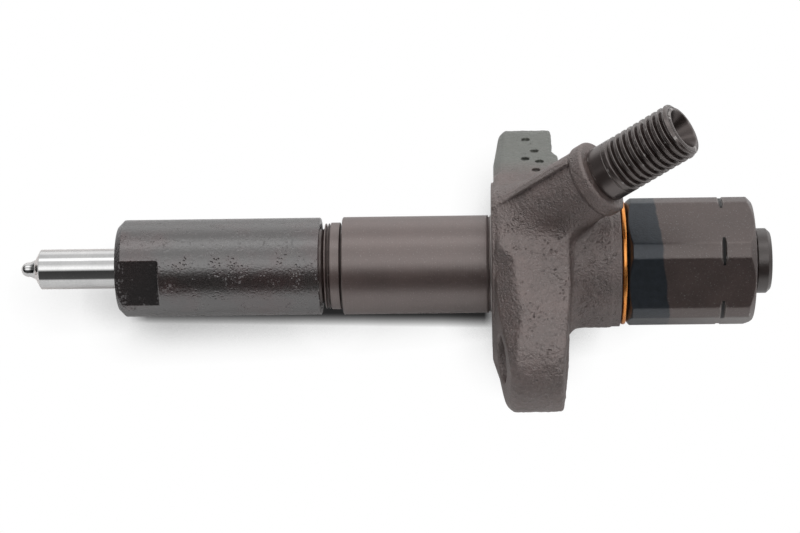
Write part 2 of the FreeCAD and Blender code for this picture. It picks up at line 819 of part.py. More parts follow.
def make_pressure_spring():
    """A closed-end coil spring: the pitch falls to the wire's thickness in the end turns."""
    mean, wire = cell.spring_mean_radius.value, cell.wire_radius.value
    low = cell.spring_low_z.value + wire
    high = cell.spring_high_z.value - wire
    closed = 1.0
    working = cell.spring_turns.value
    turns = working + 2 * closed
    end_rise = 2 * wire * 1.02
    pitch = (high - low - 2 * closed * end_rise) / working

    def height(turn):
        if turn < closed:
            return low + end_rise * turn
        if turn > turns - closed:
            return high - end_rise * (turns - turn)
        return low + end_rise * closed + pitch * (turn - closed)

    steps_per_turn = 16
    steps = int(turns * steps_per_turn)
    points = []
    for i in range(steps + 1):
        turn = turns * i / steps
        angle = 2 * math.pi * turn
        points.append(Vector(mean * math.cos(angle), mean * math.sin(angle), height(turn)))
    centre_line = Part.BSplineCurve()
    centre_line.interpolate(points)
    path = Part.Wire([centre_line.toShape()])
    tangent = centre_line.tangent(centre_line.FirstParameter)[0]
    section = Part.Wire([Part.Circle(points[0], tangent, wire).toShape()])
    coil = path.makePipeShell([section], True, True)
    # Both ends are ground flat.
    size = 2 * (mean + wire) + 2
    slab = Part.makeBox(size, size, high - low + wire, Vector(-size / 2, -size / 2, low - wire / 2))
    spring = doc.addObject("Part::Feature", "pressure_spring")
    spring.Label = "pressure_spring"
    spring.Shape = coil.common(slab)
    parts.append(spring)
    return spring


def make_adjusting_screw():
    body = new_body("adjusting_screw")
    low = cell.spring_high_z + cell.seat_thickness
    high = cell.adjuster_top_z
    radius = cell.adjuster_radius
    turned(
        body,
        [
            (cell.leak_hole_radius, low),
            (cell.seat_radius - 0.5, low),
            (cell.seat_radius - 0.2, low + 1.5),
            (radius, low + 2.2),
            (radius, high - 0.6),
            (radius - 0.6, high),
            (cell.leak_hole_radius, high),
        ],
    )
    slot_half_width, slot_depth = Size(0.8), Size(2.2)
    sketch = new_sketch(body, "XZ_Plane")
    outline(sketch, tube(-slot_half_width, high - slot_depth, slot_half_width, high + 1))
    feature(body, "Pocket", sketch, Length=radius * 4, Midplane=True)
    return body


def make_lock_nut():
    body = new_body("lock_nut")
    low = cell.spigot_top_z
    high = low + cell.lock_nut_height
    bore = cell.adjuster_radius + cell.thread_gap
    corner = cell.lock_nut_flat_distance * (2 / math.sqrt(3))
    turned(
        body,
        [
            (bore, low),
            (corner - 0.8, low),
            (corner, low + 0.5),
            (corner, high - 0.5),
            (corner - 0.8, high),
            (bore, high),
        ],
    )
    flats(
        body, low, cell.lock_nut_height, cell.lock_nut_flat_distance, Size(15), Size(12), 6
    )
    return body


# --------------------------------------------------------------------------- cap end


def make_cap_washer():
    body = new_body("cap_washer")
    low = cell.neck_top_z
    turned(body, tube(cell.spigot_radius + 0.1, low, cell.washer_radius, low + cell.washer_thickness))
    return body


def make_cap_nut():
    body = new_body("cap_nut")
    low = cell.neck_top_z + cell.washer_thickness
    high = low + cell.cap_length
    chamfer_radius = cell.cap_flat_distance - 0.35
    rise = cell.cap_chamfer
    bore = cell.cap_bore_radius
    screw = cell.adaptor_screw_radius + cell.thread_gap
    turned(
        body,
        [
            (bore + 0.6, low),
            (chamfer_radius, low),
            (cell.cap_radius, low + rise),
            (cell.cap_radius, high - rise),
            (chamfer_radius, high),
            (screw, high),
            (screw, high - cell.cap_wall),
            (bore, high - cell.cap_wall),
            (bore, low + 0.6),
        ],
    )
    flats(body, low, cell.cap_length, cell.cap_flat_distance, Size(20), cell.cap_flat_angle, 6)
    notch = cell.cap_notch_width / 2
    turned(
        body,
        tube(cell.cap_notch_radius, cell.cap_notch_z - notch, Size(16), cell.cap_notch_z + notch),
        kind="Groove",
    )
    return body


def cap_top():
    return cell.neck_top_z + cell.washer_thickness + cell.cap_length


def make_leak_off_washer():
    body = new_body("leak_off_washer")
    low = cap_top()
    high = low + cell.port_washer_thickness
    turned(body, tube(cell.adaptor_screw_radius + 0.1, low, cell.adaptor_radius - 0.1, high))
    return body


def make_leak_off_adaptor():
    body = new_body("leak_off_adaptor")
    collar = cap_top() + cell.port_washer_thickness
    screw, top = cell.adaptor_screw_radius, cell.adaptor_top_z
    turned(
        body,
        [
            (cell.leak_hole_radius, cell.adaptor_low_z),
            (screw - 0.6, cell.adaptor_low_z),
            (screw, cell.adaptor_low_z + 0.6),
            (screw, collar),
            (cell.adaptor_radius, collar),
            (cell.adaptor_radius, top - 0.9),
            (cell.adaptor_radius - 0.9, top),
            (cell.port_radius + 0.5, top),
            (cell.port_radius, top - 0.5),
            (cell.port_radius, top - cell.port_depth),
            (cell.leak_hole_radius, top - cell.port_depth),
        ],
    )
    return body


# --------------------------------------------------------------------------- build and export


def check(item):
    """Stops the build if an object failed to compute, or a part isn't a sound solid."""
    if {"Invalid", "Error"} & set(item.State):
        raise RuntimeError(f"{item.Label}: {item.State}")


def main():
    make_nozzle_body()
    make_nozzle_needle()
    make_nozzle_dowels()
    make_nozzle_nut()
    make_holder_body()
    make_edge_filter()
    make_spindle()
    make_lower_spring_seat()
    make_pressure_spring()
    make_upper_spring_seat()
    make_adjusting_screw()
    make_lock_nut()
    make_cap_washer()
    make_cap_nut()
    make_leak_off_washer()
    make_leak_off_adaptor()
    doc.recompute()
    for item in doc.Objects:
        check(item)
    for part in parts:
        if part.Shape.isNull() or not part.Shape.isValid():
            raise RuntimeError(f"{part.Label}: its shape is null or not valid")
    os.makedirs("parts", exist_ok=True)
    for part in parts:
        part.Shape.exportStep(f"parts/{part.Label}.step")
        solids = len(part.Shape.Solids)
        print(f"{part.Label}: {solids} solid(s), {part.Shape.Volume:.1f} mm3")


main()
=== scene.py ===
import json
import math
from itertools import product

import bmesh
import bpy
import numpy as np
from mathutils import Matrix, Vector, noise


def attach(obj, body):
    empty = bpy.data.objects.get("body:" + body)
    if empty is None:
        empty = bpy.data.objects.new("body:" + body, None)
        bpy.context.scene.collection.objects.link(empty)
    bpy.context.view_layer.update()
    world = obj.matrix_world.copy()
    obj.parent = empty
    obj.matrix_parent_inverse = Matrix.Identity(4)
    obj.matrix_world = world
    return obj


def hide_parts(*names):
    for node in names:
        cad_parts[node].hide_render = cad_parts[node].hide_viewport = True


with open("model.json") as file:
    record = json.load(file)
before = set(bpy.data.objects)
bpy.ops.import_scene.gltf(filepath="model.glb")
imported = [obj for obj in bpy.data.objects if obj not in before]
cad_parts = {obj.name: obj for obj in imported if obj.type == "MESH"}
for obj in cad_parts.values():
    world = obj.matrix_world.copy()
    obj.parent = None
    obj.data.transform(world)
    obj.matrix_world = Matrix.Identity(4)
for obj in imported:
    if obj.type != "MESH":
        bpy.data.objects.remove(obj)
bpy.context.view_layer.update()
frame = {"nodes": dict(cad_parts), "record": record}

# The fuel injector's looks. Lengths are in millimetres in the row frame: +Z runs from the nozzle to the
# cap, the bolt holes lie along X, and the inlet points towards -Y.

MM = 0.001
SAME_POINT = 1e-7  # metres: closer points are merged
scene = bpy.context.scene
rng = np.random.default_rng(41)

UP = np.array([0.0, 0.0, 1.0])
ORIGIN = np.zeros(3)
INLET_ANGLE = math.radians(39.2)
INLET_FOOT = np.array([0.0, 0.0, 74.9])
INLET_AXIS = np.array([0.0, -math.sin(INLET_ANGLE), math.cos(INLET_ANGLE)])
INLET_UNDER = np.array([0.0, -math.cos(INLET_ANGLE), -math.sin(INLET_ANGLE)])
INLET_SIDE = np.array([1.0, 0.0, 0.0])

# The flange: a round hub with an ear along each way of X. EAR_LEAN is the lean of the ears' straight sides.
# FAR_SIDE points out of the far ear's side towards the inlet, and FAR_ALONG runs along it from the hub.
CLAMP_FACE = 83.7
NECK_TOP = 112.3
BOLT_REACH = 28.575
BOLT_RADIUS = 5.0
HUB_RADIUS = 18.9
EAR_RADIUS = 10.9
EAR_LEAN = math.asin((HUB_RADIUS - EAR_RADIUS) / BOLT_REACH)
FAR_SIDE = np.array([-math.sin(EAR_LEAN), -math.cos(EAR_LEAN), 0.0])
FAR_ALONG = np.array([-math.cos(EAR_LEAN), math.sin(EAR_LEAN), 0.0])
# Punch marks on the far ear's side, as (distance along the side, height).
PUNCH_MARKS = [(24.7, 91.9), (18.8, 93.8), (14.9, 91.6), (13.5, 94.8), (9.4, 93.9)]

# Bores, as radii. The spring chamber runs from its floor to its top, with the screw's thread above.
SPINDLE_BORE = 2.3
CHAMBER_RADIUS = 5.6
CHAMBER_FLOOR, CHAMBER_TOP = 87.7, 113.7
SCREW_RADIUS = 6.04
INLET_BORE = 2.6

# Shank, screwed stub, nozzle nut with its two spanner flats, and hexagon cap nut with its turned notch.
SHANK_RADIUS = 10.95
STUB_RADIUS = 6.2
STUB_PITCH = 25.4 / 16
NUT_RADIUS = 10.9
NUT_LENGTH = 45.5
NUT_FLATS = 19.0
FLATS_TOP = 9.8
FLATS_ANGLE = math.radians(-25.1)
CAP_FLATS = 27.0
CAP_TURN_DEGREES = 35.2
CAP_RADIUS = 14.7
NOTCH_RADIUS = 14.2
NOTCH_LOW, NOTCH_HIGH = 133.8, 134.8

# ------------------------------------------------------------------ node trees


class Nodes:
    """A short way to write a node tree. Inputs take numbers, colours or other nodes' outputs."""

    def __init__(self, owner):
        owner.use_nodes = True
        self.tree = owner.node_tree
        self.tree.nodes.clear()

    def add(self, kind, inputs=None, **settings):
        node = self.tree.nodes.new(kind)
        for key, value in settings.items():
            setattr(node, key, value)
        for key, value in (inputs or {}).items():
            if isinstance(value, bpy.types.NodeSocket):
                self.tree.links.new(value, node.inputs[key])
            elif value is not None:
                node.inputs[key].default_value = value
        return node

    def math(self, operation, *values):
        return self.add("ShaderNodeMath", dict(enumerate(values)), operation=operation).outputs[0]

    def dot(self, first, second):
        both = {0: first, 1: second if isinstance(second, bpy.types.NodeSocket) else tuple(second)}
        return self.add("ShaderNodeVectorMath", both, operation="DOT_PRODUCT").outputs["Value"]

    def noise(self, vector, scale, detail=2.0, rough=0.5):
        inputs = {"Vector": vector, "Scale": scale, "Detail": detail, "Roughness": rough}
        return self.add("ShaderNodeTexNoise", inputs).outputs["Fac"]

    def ramp(self, factor, *stops):
        """Grey values at places along a factor, with straight runs between them."""
        node = self.add("ShaderNodeValToRGB", {0: factor})
        elements = node.color_ramp.elements
        while len(elements) < len(stops):
            elements.new(1.0)
        for element, (place, value) in zip(elements, stops):
            element.position = place
            element.color = grey(value)
        return node.outputs["Color"]

    def step(self, value, low, high):
        """0 below low, 1 above high."""
        inputs = {"Value": value, "From Min": low, "From Max": high}
        return self.add("ShaderNodeMapRange", inputs).outputs["Result"]

    def mix(self, factor, first, second, blend="MIX"):
        node = self.add("ShaderNodeMix", data_type="RGBA", blend_type=blend)
        for index, value in ((0, factor), (6, first), (7, second)):
            if isinstance(value, bpy.types.NodeSocket):
                self.tree.links.new(value, node.inputs[index])
            else:
                node.inputs[index].default_value = value
        return node.outputs[2]

    def bump(self, height, depth, before=None):
        inputs = {"Height": height, "Distance": depth, "Strength": 1.0, "Normal": before}
        return self.add("ShaderNodeBump", inputs).outputs["Normal"]

    def below(self, value, low, high):
        """1 below low, 0 above high."""
        return self.math("SUBTRACT", 1.0, self.step(value, low, high))

    def inside_of(self, value, low, high, soft):
        """1 between low and high, 0 outside."""
        return self.math("MULTIPLY", self.step(value, low, low + soft), self.below(value, high - soft, high))

    def off_axis(self, place):
        """Distance from the injector's axis."""
        inputs = {0: place, 1: (1, 1, 0)}
        flat = self.add("ShaderNodeVectorMath", inputs, operation="MULTIPLY").outputs[0]
        return self.math("SQRT", self.dot(flat, flat))


BROWN = (1.0, 0.62, 0.56)
WARM = (1.0, 0.90, 0.87, 1)


def grey(value, tint=(1.0, 1.0, 1.0)):
    """A grey of the given brightness, or a tint of it, as a colour with alpha."""
    return (value * tint[0], value * tint[1], value * tint[2], 1.0)


def finish(name, dark, light, rough, ior=None, tint=(1.0, 0.95, 0.93, 1), patches=120, grain=2600,
           grain_depth=0.0, lines=0.0, axis=(0, 0, 1), pits=0.0, specks=0.0, hollow_shade=0.0, wear_and_highlight=0.0,
           wear_and_highlight_colour=(0.3, 0.29, 0.28, 1), extra=None):
    """A finish: two colours mixed in patches, grain, turning lines along an axis, pits darkened by painted
    shade, specks, painted shade in the hollows, and edges lightened as wear and painted highlight. Bare metal
    if no ior is given.

    Depths are in millimetres, scales in features a metre. extra(nodes, place, look) may repaint the look.
    """
    material = bpy.data.materials.new(name)
    n = Nodes(material)
    place = n.add("ShaderNodeTexCoord").outputs["Object"]
    edge = n.add("ShaderNodeNewGeometry").outputs["Pointiness"]
    broad = n.noise(place, patches, 3, 0.6)
    fine = n.noise(place, grain, 3, 0.6)
    blend = n.math("ADD", n.math("MULTIPLY", broad, 0.55), n.math("MULTIPLY", fine, 0.45))
    colour = n.mix(n.step(blend, 0.35, 0.65), dark, light)
    look = {"Roughness": n.math("ADD", rough - 0.08, n.math("MULTIPLY", blend, 0.16)), "Specular Tint": tint,
            "Metallic": 0.0 if ior else 1.0, "IOR": ior or 1.5}
    normal = None
    if lines:
        inputs = {"W": n.dot(place, axis), "Scale": 3300.0, "Detail": 2.0, "Roughness": 0.7}
        line = n.add("ShaderNodeTexNoise", inputs, noise_dimensions="1D").outputs["Fac"]
        normal = n.bump(line, lines * MM)
        colour = n.mix(n.math("MULTIPLY", n.step(line, 0.45, 0.7), 0.25), colour, dark)
    if grain_depth:
        normal = n.bump(fine, grain_depth * MM, normal)
    if pits:
        cells = n.add("ShaderNodeTexVoronoi", {"Vector": place, "Scale": 1500.0}).outputs["Distance"]
        thin = n.step(n.noise(place, 300.0, 2), 0.5, 0.66)
        hole = n.math("MULTIPLY", n.below(cells, 0.1, 0.4), thin)
        normal = n.bump(n.math("MULTIPLY", hole, -1.0), pits * MM, normal)
        # Painted shade: the pits are also darkened in colour.
        colour = n.mix(n.math("MULTIPLY", hole, 0.45), colour, grey(0.004))
    if specks:
        speck = n.step(n.noise(place, 3400.0, 2, 0.5), 0.64, 0.7)
        colour = n.mix(n.math("MULTIPLY", speck, specks), colour, grey(0.35))
    # Painted shade: the hollows get a darker colour and a weaker reflection, standing in for the shade that
    # falls there.
    if hollow_shade:
        hollow_shade_mask = n.math("MULTIPLY", n.below(edge, 0.38, 0.49), hollow_shade)
        colour = n.mix(hollow_shade_mask, colour, grey(0.003))
        look["Specular Tint"] = n.mix(hollow_shade_mask, look["Specular Tint"], grey(0.1))
    # Edges and thread crests get a lighter colour: partly real wear, partly a painted highlight.
    if wear_and_highlight:
        rub_and_highlight = n.math("MULTIPLY", n.step(edge, 0.52, 0.6), n.math("MULTIPLY", broad, 2 * wear_and_highlight))
        colour = n.mix(rub_and_highlight, colour, wear_and_highlight_colour)
    look.update({"Base Color": colour, "Normal": normal})
    if extra:
        extra(n, place, look)
    shader = n.add("ShaderNodeBsdfPrincipled", look)
    n.add("ShaderNodeOutputMaterial", {"Surface": shader.outputs[0]})
    return material


def paint_band_and_notch_shade(n, place, look):
    """Blue-black paint on the cap nut's lower end, with a slanted and slightly uneven edge, and painted shade
    in the notch round the corners."""
    soft = 0.05 * MM
    # Painted shade: the notch round the corners is darkened and reflects less, standing in for the shade in
    # it.
    level = n.inside_of(n.dot(place, UP), (NOTCH_LOW + 0.2) * MM, (NOTCH_HIGH - 0.15) * MM, soft)
    depth = n.inside_of(n.off_axis(place), (NOTCH_RADIUS - 0.1) * MM, (CAP_RADIUS - 0.04) * MM, soft)
    notch = n.math("MULTIPLY", level, depth)
    look["Base Color"] = n.mix(notch, look["Base Color"], grey(0.004))
    look["Specular Tint"] = n.mix(notch, look["Specular Tint"], grey(0.15))
    height = n.dot(place, (-0.085, -0.085, 1))
    wobble = n.math("MULTIPLY", n.math("SUBTRACT", n.noise(place, 200.0, 4), 0.5), 1.6 * MM)
    mask = n.below(n.math("ADD", height, wobble), 121.1 * MM, 121.5 * MM)
    worn = n.step(n.noise(place, 900.0, 3), 0.3, 0.75)
    paint = n.mix(worn, (0.004, 0.007, 0.010, 1), (0.012, 0.017, 0.023, 1))
    look["Base Color"] = n.mix(mask, look["Base Color"], paint)
    look["Specular Tint"] = n.mix(mask, look["Specular Tint"], (0.52, 0.54, 0.58, 1))


def heat_tints(n, place, look):
    """Faint red-brown patches in black oxide, rubbed speckles, and a black that reflects less on the milled
    flats.
    """
    red = n.step(n.noise(place, 75.0, 3, 0.6), 0.46, 0.64)
    colour = n.mix(n.math("MULTIPLY", red, 0.6), look["Base Color"], (0.045, 0.012, 0.011, 1))
    rubbed = n.step(n.noise(place, 2300.0, 4, 0.75), 0.56, 0.66)
    colour = n.mix(n.math("MULTIPLY", rubbed, 0.45), colour, (0.12, 0.105, 0.105, 1))
    tint = n.mix(n.math("MULTIPLY", red, 0.4), look["Specular Tint"], (0.95, 0.86, 0.87, 1))
    cut_in = n.below(n.off_axis(place), (NUT_RADIUS - 0.12) * MM, (NUT_RADIUS - 0.04) * MM)
    low = n.below(n.dot(place, UP), (FLATS_TOP + 0.1) * MM, (FLATS_TOP + 0.3) * MM)
    milled = n.math("MULTIPLY", cut_in, low)
    look["Base Color"] = n.mix(n.math("MULTIPLY", milled, 0.75), colour, grey(0.012))
    look["Specular Tint"] = n.mix(milled, tint, (0.7, 0.67, 0.68, 1))


def grey_end(n, place, look):
    """Paints the far ear a lighter, greener grey than the rest of the forging, with a more neutral
    reflection.
    """
    far = n.below(n.dot(place, (1, 0, 0)), -19 * MM, -12 * MM)
    look["Base Color"] = n.mix(n.math("MULTIPLY", far, 0.8), look["Base Color"], (0.065, 0.07, 0.06, 1))
    look["Specular Tint"] = n.mix(far, look["Specular Tint"], (0.97, 1.0, 0.95, 1))


def mouth_shade(n, place, look):
    """Painted shade inside the stub's mouth: a dark brown colour and a weaker reflection in the bore."""
    inputs = {0: place, 1: tuple(INLET_FOOT * MM)}
    arm = n.add("ShaderNodeVectorMath", inputs, operation="SUBTRACT").outputs[0]
    along_squared = n.math("POWER", n.dot(arm, INLET_AXIS), 2.0)
    across = n.math("SQRT", n.math("SUBTRACT", n.dot(arm, arm), along_squared))
    inside = n.below(across, 4.3 * MM, 4.45 * MM)
    look["Base Color"] = n.mix(inside, look["Base Color"], grey(0.012, BROWN))
    look["Specular Tint"] = n.mix(inside, look["Specular Tint"], (0.6, 0.52, 0.5, 1))


# The finishes below paint shade into hollows and pits, and lighten edges partly as wear and partly as a
# painted highlight.
polished = finish("polished_steel", grey(0.6), grey(0.72, (1, 0.995, 0.99)), 0.08, lines=0.003, patches=200)
ground = finish("ground_steel", grey(0.4), grey(0.5), 0.32, lines=0.003)
oxide = finish("black_oxide_steel", grey(0.010, BROWN), grey(0.024, BROWN), 0.26, ior=2.35, tint=(1, 1, 1, 1),
               patches=140, grain=1900, grain_depth=0.06, pits=0.14, wear_and_highlight=1.0, extra=heat_tints)
oxide_plain = finish("black_oxide_trim", grey(0.012, BROWN), grey(0.025, BROWN), 0.32, ior=1.9,
                     grain_depth=0.03, wear_and_highlight=0.8)
turned_grey = finish("phosphated_turned", grey(0.045, BROWN), grey(0.08, BROWN), 0.37, ior=2.4, tint=WARM,
                     lines=0.035, grain_depth=0.012, specks=0.3, wear_and_highlight=0.6, hollow_shade=0.9)
stub_grey = finish("phosphated_thread", grey(0.01, BROWN), grey(0.026, BROWN), 0.29, ior=2.15, tint=WARM,
                   lines=0.012, axis=INLET_AXIS, grain_depth=0.015, wear_and_highlight=1.0, hollow_shade=1.0, extra=mouth_shade)
forged = finish("phosphated_forging", grey(0.022, BROWN), grey(0.085, BROWN), 0.42, ior=2.5, tint=WARM,
                patches=180, grain=1900, grain_depth=0.32, pits=0.25, specks=0.4, hollow_shade=1.0, wear_and_highlight=0.5,
                wear_and_highlight_colour=(0.16, 0.14, 0.13, 1), extra=grey_end)
hexagon_grey = finish("phosphated_hexagon", grey(0.026, BROWN), grey(0.05, BROWN), 0.34, ior=2.05, tint=WARM,
                      grain=2200, grain_depth=0.06, specks=0.35, hollow_shade=1.0, wear_and_highlight=0.7, extra=paint_band_and_notch_shade)
phosphate = finish("phosphated_steel", grey(0.05, BROWN), grey(0.09, BROWN), 0.45, ior=2.1, grain_depth=0.01)
spring = finish("spring_steel", grey(0.12), grey(0.2), 0.38)
copper = finish("copper", (0.85, 0.28, 0.06, 1), (1.0, 0.46, 0.14, 1), 0.28, patches=300, grain_depth=0.01,
                lines=0.01)

SLOT_FINISH = {
    "polished_steel": polished, "ground_steel": ground, "black_oxide_steel": oxide_plain,
    "phosphated_steel": phosphate, "spring_steel": spring, "copper": copper,
}

# ------------------------------------------------------------------ mesh helpers


def piece(name, points, faces, material, node):
    """A mesh on the holder, from points in millimetres, that stands for a CAD node."""
    mesh = bpy.data.meshes.new(name)
    mesh.from_pydata((np.asarray(points, float) * MM).tolist(), [], faces)
    work = bmesh.new()
    work.from_mesh(mesh)
    bmesh.ops.remove_doubles(work, verts=work.verts, dist=SAME_POINT)
    bmesh.ops.recalc_face_normals(work, faces=work.faces)
    work.to_mesh(mesh)
    work.free()
    mesh.polygons.foreach_set("use_smooth", [True] * len(mesh.polygons))
    mesh.materials.append(material)
    thing = bpy.data.objects.new(name, mesh)
    scene.collection.objects.link(thing)
    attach(thing, "holder")
    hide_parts(node)


def sheet_faces(rows, columns):
    """Quads over a sheet of points that closes round its columns."""
    i, j = np.meshgrid(np.arange(rows - 1), np.arange(columns), indexing="ij")
    k = (j + 1) % columns
    quads = np.stack([i * columns + j, i * columns + k, (i + 1) * columns + k, (i + 1) * columns + j], -1)
    return quads.reshape(-1, 4).tolist()


def line_through(corners, step=0.6, closed=False):
    """Points along (radius, height, fillet) corners: fillets become arcs, long runs are divided."""
    corners = [tuple(c) + (0.0,) * (3 - len(c)) for c in corners]
    line = []
    for i, (r, z, fillet) in enumerate(corners):
        here = np.array([r, z])
        if not fillet:
            line.append(here)
            continue
        before = np.array(corners[i - 1][:2]) - here
        after = np.array(corners[(i + 1) % len(corners)][:2]) - here
        before, after = before / np.linalg.norm(before), after / np.linalg.norm(after)
        half = math.acos(float(np.clip(before @ after, -1, 1))) / 2
        middle = (before + after) / np.linalg.norm(before + after)
        centre = here + middle * fillet / math.sin(half)
        start = here + before * fillet / math.tan(half) - centre
        end = here + after * fillet / math.tan(half) - centre
        for t in np.linspace(0, 1, 5):
            arm = start * (1 - t) + end * t
            line.append(centre + arm / np.linalg.norm(arm) * fillet)
    if closed:
        line.append(line[0])
    fine = [line[0]]
    for a, b in zip(line, line[1:]):
        parts = max(1, math.ceil(np.linalg.norm(b - a) / step))
        fine += [a + (b - a) * k / parts for k in range(1, parts + 1)]
    return np.array(fine)


def around(count):
    """Angles of a whole turn, in equal steps."""
    return np.linspace(0, 2 * np.pi, count, endpoint=False)


def spread(line, angle):
    """Radius and height of a line's points, the same at each angle."""
    return line[:, :1] + 0 * angle, line[:, 1:] + 0 * angle


def swept(radius, height, angle):
    """Points round +Z: an array of rows by columns by xyz."""
    return np.stack([radius * np.cos(angle), radius * np.sin(angle), height], -1)


def turned(line, count):
    """Points of a line of (radius, height) turned round +Z."""
    angle = around(count)
    return swept(*spread(line, angle), angle)


def on_inlet(points):
    """Moves points from a frame with +Z along the inlet to the row frame."""
    turn = np.stack([INLET_SIDE, -INLET_UNDER, INLET_AXIS])
    return points.reshape(-1, 3) @ turn + INLET_FOOT


def thread_depth(height, angle, pitch):
    """0 on the crest and 1 in the root of a right-hand thread, with rounded corners."""
    crest, root = 0.2, 0.26
    phase = (height / pitch - angle / (2 * np.pi)) % 1.0
    off_root = np.abs(phase - 0.5) * 2
    t = np.clip((1 - crest - off_root) / (1 - crest - root), 0, 1)
    return t * t * (3 - 2 * t)


def lumps(points, scale, octaves):
    """Smooth noise at points, about -1 to 1, for features of the given size."""
    return np.array([noise.fractal(Vector(p / scale), 1.0, 2.0, octaves) for p in points])


def nicks(points, normals, centres, sizes, depths):
    """Pushes round dents into a surface."""
    for centre, size, depth in zip(centres, sizes, depths):
        away = np.linalg.norm(points - centre, axis=1) / size
        near = away < 1
        points[near] -= normals[near] * (depth * (1 - away[near] ** 2) ** 1.5)[:, None]


# ------------------------------------------------------------------ forged holder


def smooth_min(a, b, k):
    """The nearer of two distances, blended where they differ by less than k: joins shapes with a fillet."""
    h = np.clip(0.5 + 0.5 * (b - a) / k, 0, 1)
    return b + (a - b) * h - k * h * (1 - h)


def smooth_max(a, b, k):
    """The farther of two distances, blended: cuts one shape by another with a rounded edge."""
    return -smooth_min(-a, -b, k)


def cylinder(p, foot, axis, radius, low, high, edge):
    """Distance to a cylinder from low to high along an axis, its edges rounded."""
    q = p - foot
    height = q @ axis
    away = np.sqrt(np.maximum((q * q).sum(-1) - height**2, 0))
    return smooth_max(smooth_max(away - radius, low - height, edge), height - high, edge)


def flange_outline(x, y, hub, end, reach):
    """Distance to the flange's outline: a round hub and two round ends with straight sides."""
    lean = (hub - end) / reach
    side = np.sqrt(1 - lean * lean)
    ax, ay = np.abs(x), np.abs(y)
    run = side * ax - lean * ay
    return np.where(run < 0, np.hypot(ax, ay) - hub,
                    np.where(run > side * reach, np.hypot(ax - reach, ay) - end,
                             lean * ax + side * ay - hub))


def flange(x, y, z):
    """Distance to the hub and the two ears, with drafted faces and a chamfer along the underside."""
    outline = flange_outline(x, y, HUB_RADIUS, EAR_RADIUS, BOLT_REACH + 0.75 * np.tanh(x / 4))
    near = 0.5 + 0.5 * np.tanh(x / 3)
    out = np.maximum(np.abs(x) - 20.0, 0)
    step = np.clip((24.0 - np.abs(x)) / 3.5, 0, 1)
    top = 97.8 + near * (2.7 - 0.1 * out) + (1 - near) * 1.3 * step * step * (3 - 2 * step)
    toward_camera = 0.695 * x - 0.719 * y
    under = 84.4 + 0.1 * out + near * (0.02 * out + 0.07 * (toward_camera - 20.0) + 0.1)
    body = smooth_max(smooth_max(outline, z - top, 1.0), under - z, 1.2 + near)
    fade_in = np.clip((np.abs(x) - 8.0) / 6.0, 0, 1)
    widen = (0.6 + 2.2 * near) * np.clip((36.0 - np.abs(x)) / 8.0, 0, 1)
    chamfer = fade_in * (2.7 + widen) - 1.5
    return smooth_max(body, 0.7 * (outline + under - z + chamfer), 0.5)


def inlet_boss(p, along, under_side):
    """Distance to the inlet's boss, its turned collar and the parting line's ridge underneath."""
    boss = cylinder(p, INLET_FOOT, INLET_AXIS, 7.85, 12.0, 41.0, 0.5)
    boss = smooth_min(boss, cylinder(p, INLET_FOOT, INLET_AXIS, 8.35, 39.2, 42.7, 0.9), 0.1)
    ridge = smooth_max(np.abs(p[:, 0]) - 0.85, under_side - 8.6, 0.2)
    ridge = smooth_max(ridge, np.abs(along - 26.4) - 13.0, 0.3)
    ridge = smooth_max(ridge, -under_side, 0.3)
    return smooth_min(boss, ridge, 0.1)


def punch(body, p):
    """Sinks the punch marks into the far ear's side."""
    x, _, z = p.T
    side = np.flatnonzero((x < -5) & (np.abs(p @ FAR_SIDE - HUB_RADIUS) < 2.5) & (z < 97))
    for run, height in PUNCH_MARKS:
        arm = p[side] - (FAR_SIDE * HUB_RADIUS + FAR_ALONG * run + UP * height)
        deep = arm @ FAR_SIDE
        wide = np.sqrt(np.maximum((arm * arm).sum(-1) - deep * deep, 0))
        mark = smooth_max(wide - 0.9 + 0.15 * deep, -1.0 - deep, 0.3)
        body[side] = smooth_max(body[side], -mark, 0.1)


def forging(p):
    """Signed distance to the forged holder above the clamp face, with its bores and bolt holes."""
    x, y, z = p.T
    q = p - INLET_FOOT
    along, under_side = q @ INLET_AXIS, q @ INLET_UNDER
    body = flange(x, y, z)
    body = smooth_min(body, cylinder(p, ORIGIN, UP, 18.2, CLAMP_FACE, 92.0, 0.4), 0.4)
    body = smooth_min(body, cylinder(p, ORIGIN, UP, 14.55, 86.0, 113.4, 0.3), 3.6)
    body = smooth_min(body, inlet_boss(p, along, under_side), 3.2)
    body = smooth_max(body, z - NECK_TOP, 0.3)
    body = smooth_max(body, CLAMP_FACE - z, 0.25)
    body = smooth_min(body, cylinder(p, ORIGIN, UP, 9.9, 100.0, 126.2, 0.8), 0.2)
    bolt_hole = np.hypot(np.abs(x) - BOLT_REACH, y) - BOLT_RADIUS
    body = smooth_max(body, -bolt_hole, 0.7)
    away = np.hypot(x, y)
    chamber = np.where(z < CHAMBER_TOP, CHAMBER_RADIUS, SCREW_RADIUS)
    body = np.maximum(body, -np.maximum(away - chamber, CHAMBER_FLOOR - z))
    body = np.maximum(body, SPINDLE_BORE - away)
    across = np.linalg.norm(q - np.outer(along, INLET_AXIS), axis=1)
    body = np.maximum(body, -np.maximum(across - INLET_BORE, np.abs(along - 42.0) - 6.0))
    punch(body, p)
    return body


def slope(distance, p):
    """How fast a distance grows along x, y and z."""
    h = 0.02
    steps = [(distance(p + h * e) - distance(p - h * e)) / (2 * h) for e in np.eye(3)]
    return np.stack(steps, -1)


